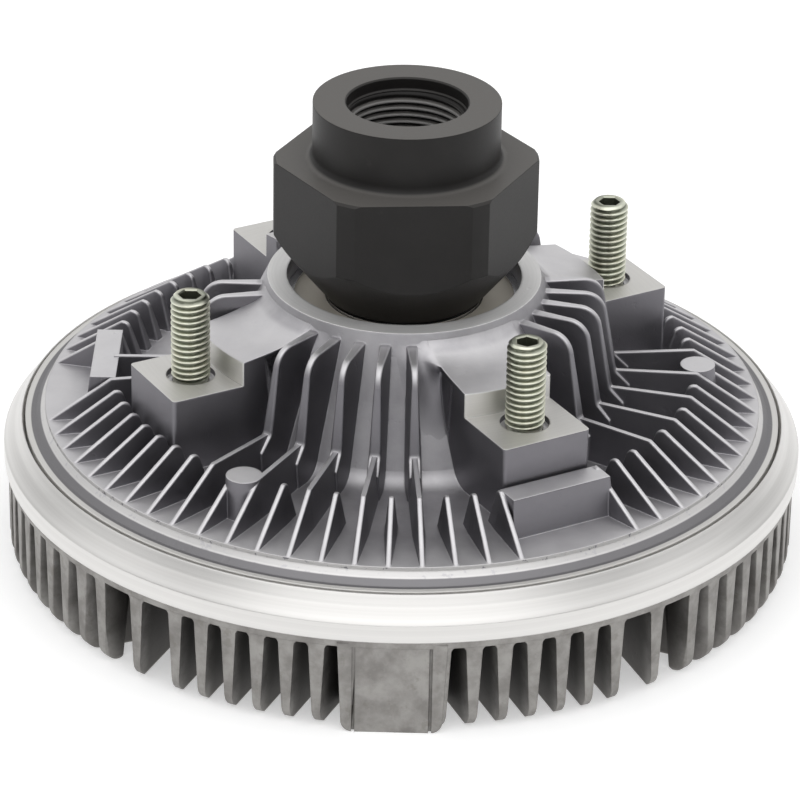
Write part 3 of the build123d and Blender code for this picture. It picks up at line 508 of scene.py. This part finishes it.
# Input shaft: a steel forging turned all over and blackened, with a dark warm grey matte skin. The collar's
# thread shows as rings in its mouth.
black_finish = Finish("blackened_steel")
clouds = black_finish.noise(6.0, detail=4.0, roughness=0.6)
grain = black_finish.noise(0.35)
wear = black_finish.step(black_finish.noise(14.0, detail=5.0, roughness=0.7), 0.62, 0.78)
dark = black_finish.mix(clouds, (0.008, 0.0073, 0.007, 1), (0.016, 0.0145, 0.0138, 1))
# Painted light: faces that look up are painted lighter, for the light that falls on them from above.
upward_painted_light = black_finish.step(black_finish.upward, 0.6, 0.95)
dark = black_finish.mix(upward_painted_light, dark, (0.105, 0.10, 0.094, 1))
worn = black_finish.mix(wear * 0.3, dark, (0.06, 0.057, 0.055, 1))
bore_radius = 12.0
bore_pitch = 1.5
bore_thread_depth = 0.81
bore_top = 95.4
bore_bottom = 72.2
bore_rows_per_pitch = 12
bare_from = 0.35
bare_full = 0.6

# The crests of the collar's thread are rubbed nearly bare.
thread_edge = black_finish.step(black_finish.radius, bore_radius - bare_from, bore_radius - bare_full)
thread_edge = thread_edge * black_finish.step(black_finish.z, bore_bottom - 0.2, bore_bottom + 0.8)
black_finish.dress(
    colour=black_finish.mix(thread_edge * 0.8, worn, (0.24, 0.235, 0.23, 1)),
    roughness=0.42 + grain * 0.12,
    metallic=0.0,
    height=grain,
    depth=0.012,
    rounding=0.35,
)
black_finish.feed(black_finish.shader.inputs["Specular IOR Level"], 0.28)
paint("input_shaft", black_finish)

# Rows down the thread, and back up a sleeve that lies in the collar's wall.
columns = 96
turn = full_turn(columns)
ring = np.ones(columns)
levels = np.arange(bore_bottom, bore_top, bore_pitch / bore_rows_per_pitch)[::-1, None]
wave = thread_wave(levels, bore_pitch, turn)
run_out = np.clip((bore_top - levels) / bore_pitch, 0, 1)
thread_radii = bore_radius - bore_thread_depth * (1 - wave) * run_out
sleeve_radius = bore_radius + 0.1
radii = np.vstack([thread_radii, sleeve_radius * ring, sleeve_radius * ring])
heights = np.vstack([levels * ring, bore_bottom * ring, bore_top * ring])
collar_thread = surface("collar_thread", round_about(radii, turn, heights) * mm, close_rows=True)
collar_thread.data.materials.append(black_finish.material)
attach(collar_thread, "drive_shaft")


# Bearing: ground steel rings and balls, a moulded cage, and satin beige shields. A sprung steel ring holds
# it from below.
def turned_metal(name, dark, light, roughness, depth):
    """A turned or ground metal, with fine lines round the axis."""
    finish = Finish(name)
    lines = turning_lines(finish, 0.3)
    finish.dress(
        colour=finish.mix(lines, dark, light), roughness=roughness + lines * 0.1, height=lines, depth=depth,
    )
    return finish


def plain(name, blotch, dark, light, roughness, spread=0.1, metallic=1.0, grain=None, **relief):
    """A plain surface whose tone and roughness drift softly, over a fine grain if it has one."""
    finish = Finish(name)
    soft = finish.noise(blotch)
    finish.dress(
        colour=finish.mix(soft, dark, light),
        roughness=roughness + soft * spread,
        metallic=metallic,
        height=finish.noise(grain) if grain else None,
        **relief,
    )
    return finish


steel_finish = turned_metal("ground_steel", (0.60, 0.60, 0.61, 1), (0.70, 0.70, 0.71, 1), 0.22, depth=0.004)
for name in ("bearing_outer_ring", "bearing_inner_ring", "bearing_balls"):
    paint(name, steel_finish)

shield_finish = plain(
    "satin_beige_shield", 4.0, (0.56, 0.52, 0.45, 1), (0.62, 0.58, 0.50, 1), 0.45, metallic=0.2,
)
paint("bearing_front_shield", shield_finish)
paint("bearing_rear_shield", shield_finish)

cage_finish = plain("moulded_cage", 2.0, (0.10, 0.08, 0.06, 1), (0.14, 0.115, 0.09, 1), 0.5, metallic=0.0)
paint("bearing_cage", cage_finish)

spring_finish = plain(
    "oiled_spring_steel", 1.5, (0.13, 0.13, 0.135, 1), (0.2, 0.2, 0.205, 1), 0.35, spread=0.15,
)
paint("bearing_snap_ring", spring_finish)
paint("valve_clip", spring_finish)


# Inside the clutch: the turned aluminium rotor, the pressed steel separator with its rivets, the wiper, the
# valve and the seals.
rotor_finish = turned_metal("turned_rotor", (0.66, 0.66, 0.66, 1), (0.78, 0.78, 0.78, 1), 0.28, depth=0.006)
paint("clutch_rotor", rotor_finish)

plate_finish = plain(
    "pressed_steel", 5.0, (0.50, 0.50, 0.49, 1), (0.60, 0.595, 0.58, 1), 0.35, spread=0.12,
    grain=0.5, depth=0.01, rounding=0.2,
)
for name in ("separator_plate", "valve_shaft", "valve_arm", "coil_bracket"):
    paint(name, plate_finish)

rivet_finish = plain("plain_rivet_steel", 1.2, (0.55, 0.55, 0.55, 1), (0.66, 0.66, 0.66, 1), 0.3)
paint("separator_rivets", rivet_finish)
paint("bracket_rivets", rivet_finish)

wiper_finish = plain(
    "moulded_wiper", 1.0, (0.02, 0.02, 0.022, 1), (0.035, 0.035, 0.037, 1), 0.5, metallic=0.0,
)
paint("wiper_block", wiper_finish)

rubber_finish = plain(
    "seal_rubber", 0.8, (0.012, 0.012, 0.012, 1), (0.02, 0.02, 0.02, 1), 0.55, spread=0.15, metallic=0.0,
)
paint("cover_seal", rubber_finish)
paint("valve_shaft_seal", rubber_finish)


# Bimetal coil: rolled strip of two metals, bright on its edges with a faint straw tint. It sits in the open
# under the disc, where the air from the radiator reaches it.
bimetal_finish = Finish("bimetal_strip")
along_strip = bimetal_finish.point(bimetal_finish.z * 6, bimetal_finish.radius, 0.0)
rolled = bimetal_finish.noise(1.0, place=along_strip)
bimetal_finish.dress(
    colour=bimetal_finish.mix(rolled, (0.50, 0.46, 0.38, 1), (0.66, 0.62, 0.54, 1)),
    roughness=0.3 + rolled * 0.15,
    height=rolled,
    depth=0.006,
    rounding=0.12,
)
paint("bimetal_coil", bimetal_finish)


# Studio: a white table that keeps the clutch's soft shadow, a room that is pale behind the clutch and dark in
# front of it, with a white horizon where the table ends, and three large soft lamps.
table_half = 12.0
corners = np.array([[-1, -1, 0], [1, -1, 0], [1, 1, 0], [-1, 1, 0]], float) * table_half
table_mesh = bpy.data.meshes.new("table")
table_mesh.from_pydata(corners, [], [[0, 1, 2, 3]])
table = bpy.data.objects.new("table", table_mesh)
bpy.context.scene.collection.objects.link(table)
table_finish = Finish("white_table")
seen = table_finish.largest(*(
    table_finish.node("LightPath", output=kind)
    for kind in ("Is Camera Ray", "Is Glossy Ray", "Is Transmission Ray")
))
table_finish.dress(colour=(0.8, 0.8, 0.8, 1), roughness=0.9, metallic=0.0)
for socket, value in (
    ("Specular IOR Level", 0.0),
    ("Emission Color", (1, 1, 1, 1)),
    ("Emission Strength", seen * 0.4),
):
    table_finish.feed(table_finish.shader.inputs[socket], value)
table.data.materials.append(table_finish.material)

surround = bpy.data.worlds.new("studio")
bpy.context.scene.world = surround
surround.use_nodes = True
room = NodeMaker(surround.node_tree)
direction = room.node("TexCoord", output="Generated")
to_the_back = room.node("SeparateXYZ", {0: direction}, output="Y")
to_the_top = room.node("SeparateXYZ", {0: direction}, output="Z")
back_wall = room.step(to_the_back, -0.2, 0.8)
ceiling = room.step(to_the_top, 0.22, 0.58)
horizon = room.step(to_the_top, 0.08, 0.05)
glow = room.largest(0.06 + room.largest(back_wall * 0.74, ceiling * 0.8), horizon)
background = surround.node_tree.nodes["Background"]
background.inputs["Color"].default_value = (1, 1, 1, 1)
room.feed(background.inputs["Strength"], glow)


def soft_lamp(name, place, size, watts):
    """A square lamp of that size at a place, turned to face the clutch."""
    lamp = bpy.data.lights.new(name, "AREA")
    lamp.shape = "SQUARE"
    lamp.size = size
    lamp.energy = watts
    holder = bpy.data.objects.new(name, lamp)
    bpy.context.scene.collection.objects.link(holder)
    holder.location = place
    holder.rotation_euler = holder.location.to_track_quat("Z", "Y").to_euler()


soft_lamp("top_lamp", (0.0, -0.75, 1.1), 1.8, 7.0)
soft_lamp("left_lamp", (-1.3, 0.0, 0.6), 0.8, 1.0)
soft_lamp("right_lamp", (1.3, 0.0, 0.6), 0.8, 1.0)


# Camera: a long lens from the front, 27 degrees above the table, turned one degree as the photograph is. The
# axis stands a little right of the picture's middle, so the lens is shifted.
view_distance = 0.932
view_height = 0.031
view_elevation = radians(27.03)
view_azimuth = radians(-89.7)
view_roll = radians(1.03)
picture_width = 800
focal_pixels = 4490
axis_column = 402.08
camera_data = bpy.data.cameras.new("camera")
camera_data.lens = focal_pixels / picture_width * camera_data.sensor_width
camera_data.shift_x = (picture_width / 2 - axis_column) / picture_width
camera = bpy.data.objects.new("camera", camera_data)
bpy.context.scene.collection.objects.link(camera)
towards_camera = np.array([
    cos(view_elevation) * cos(view_azimuth), cos(view_elevation) * sin(view_azimuth), sin(view_elevation),
])
camera.location = towards_camera * view_distance + [0, 0, view_height]
camera.rotation_euler = (pi / 2 - view_elevation, 0, view_azimuth + pi / 2)
camera.rotation_euler.rotate_axis("Z", view_roll)
bpy.context.scene.camera = camera
bpy.context.scene.view_settings.view_transform = "Standard"
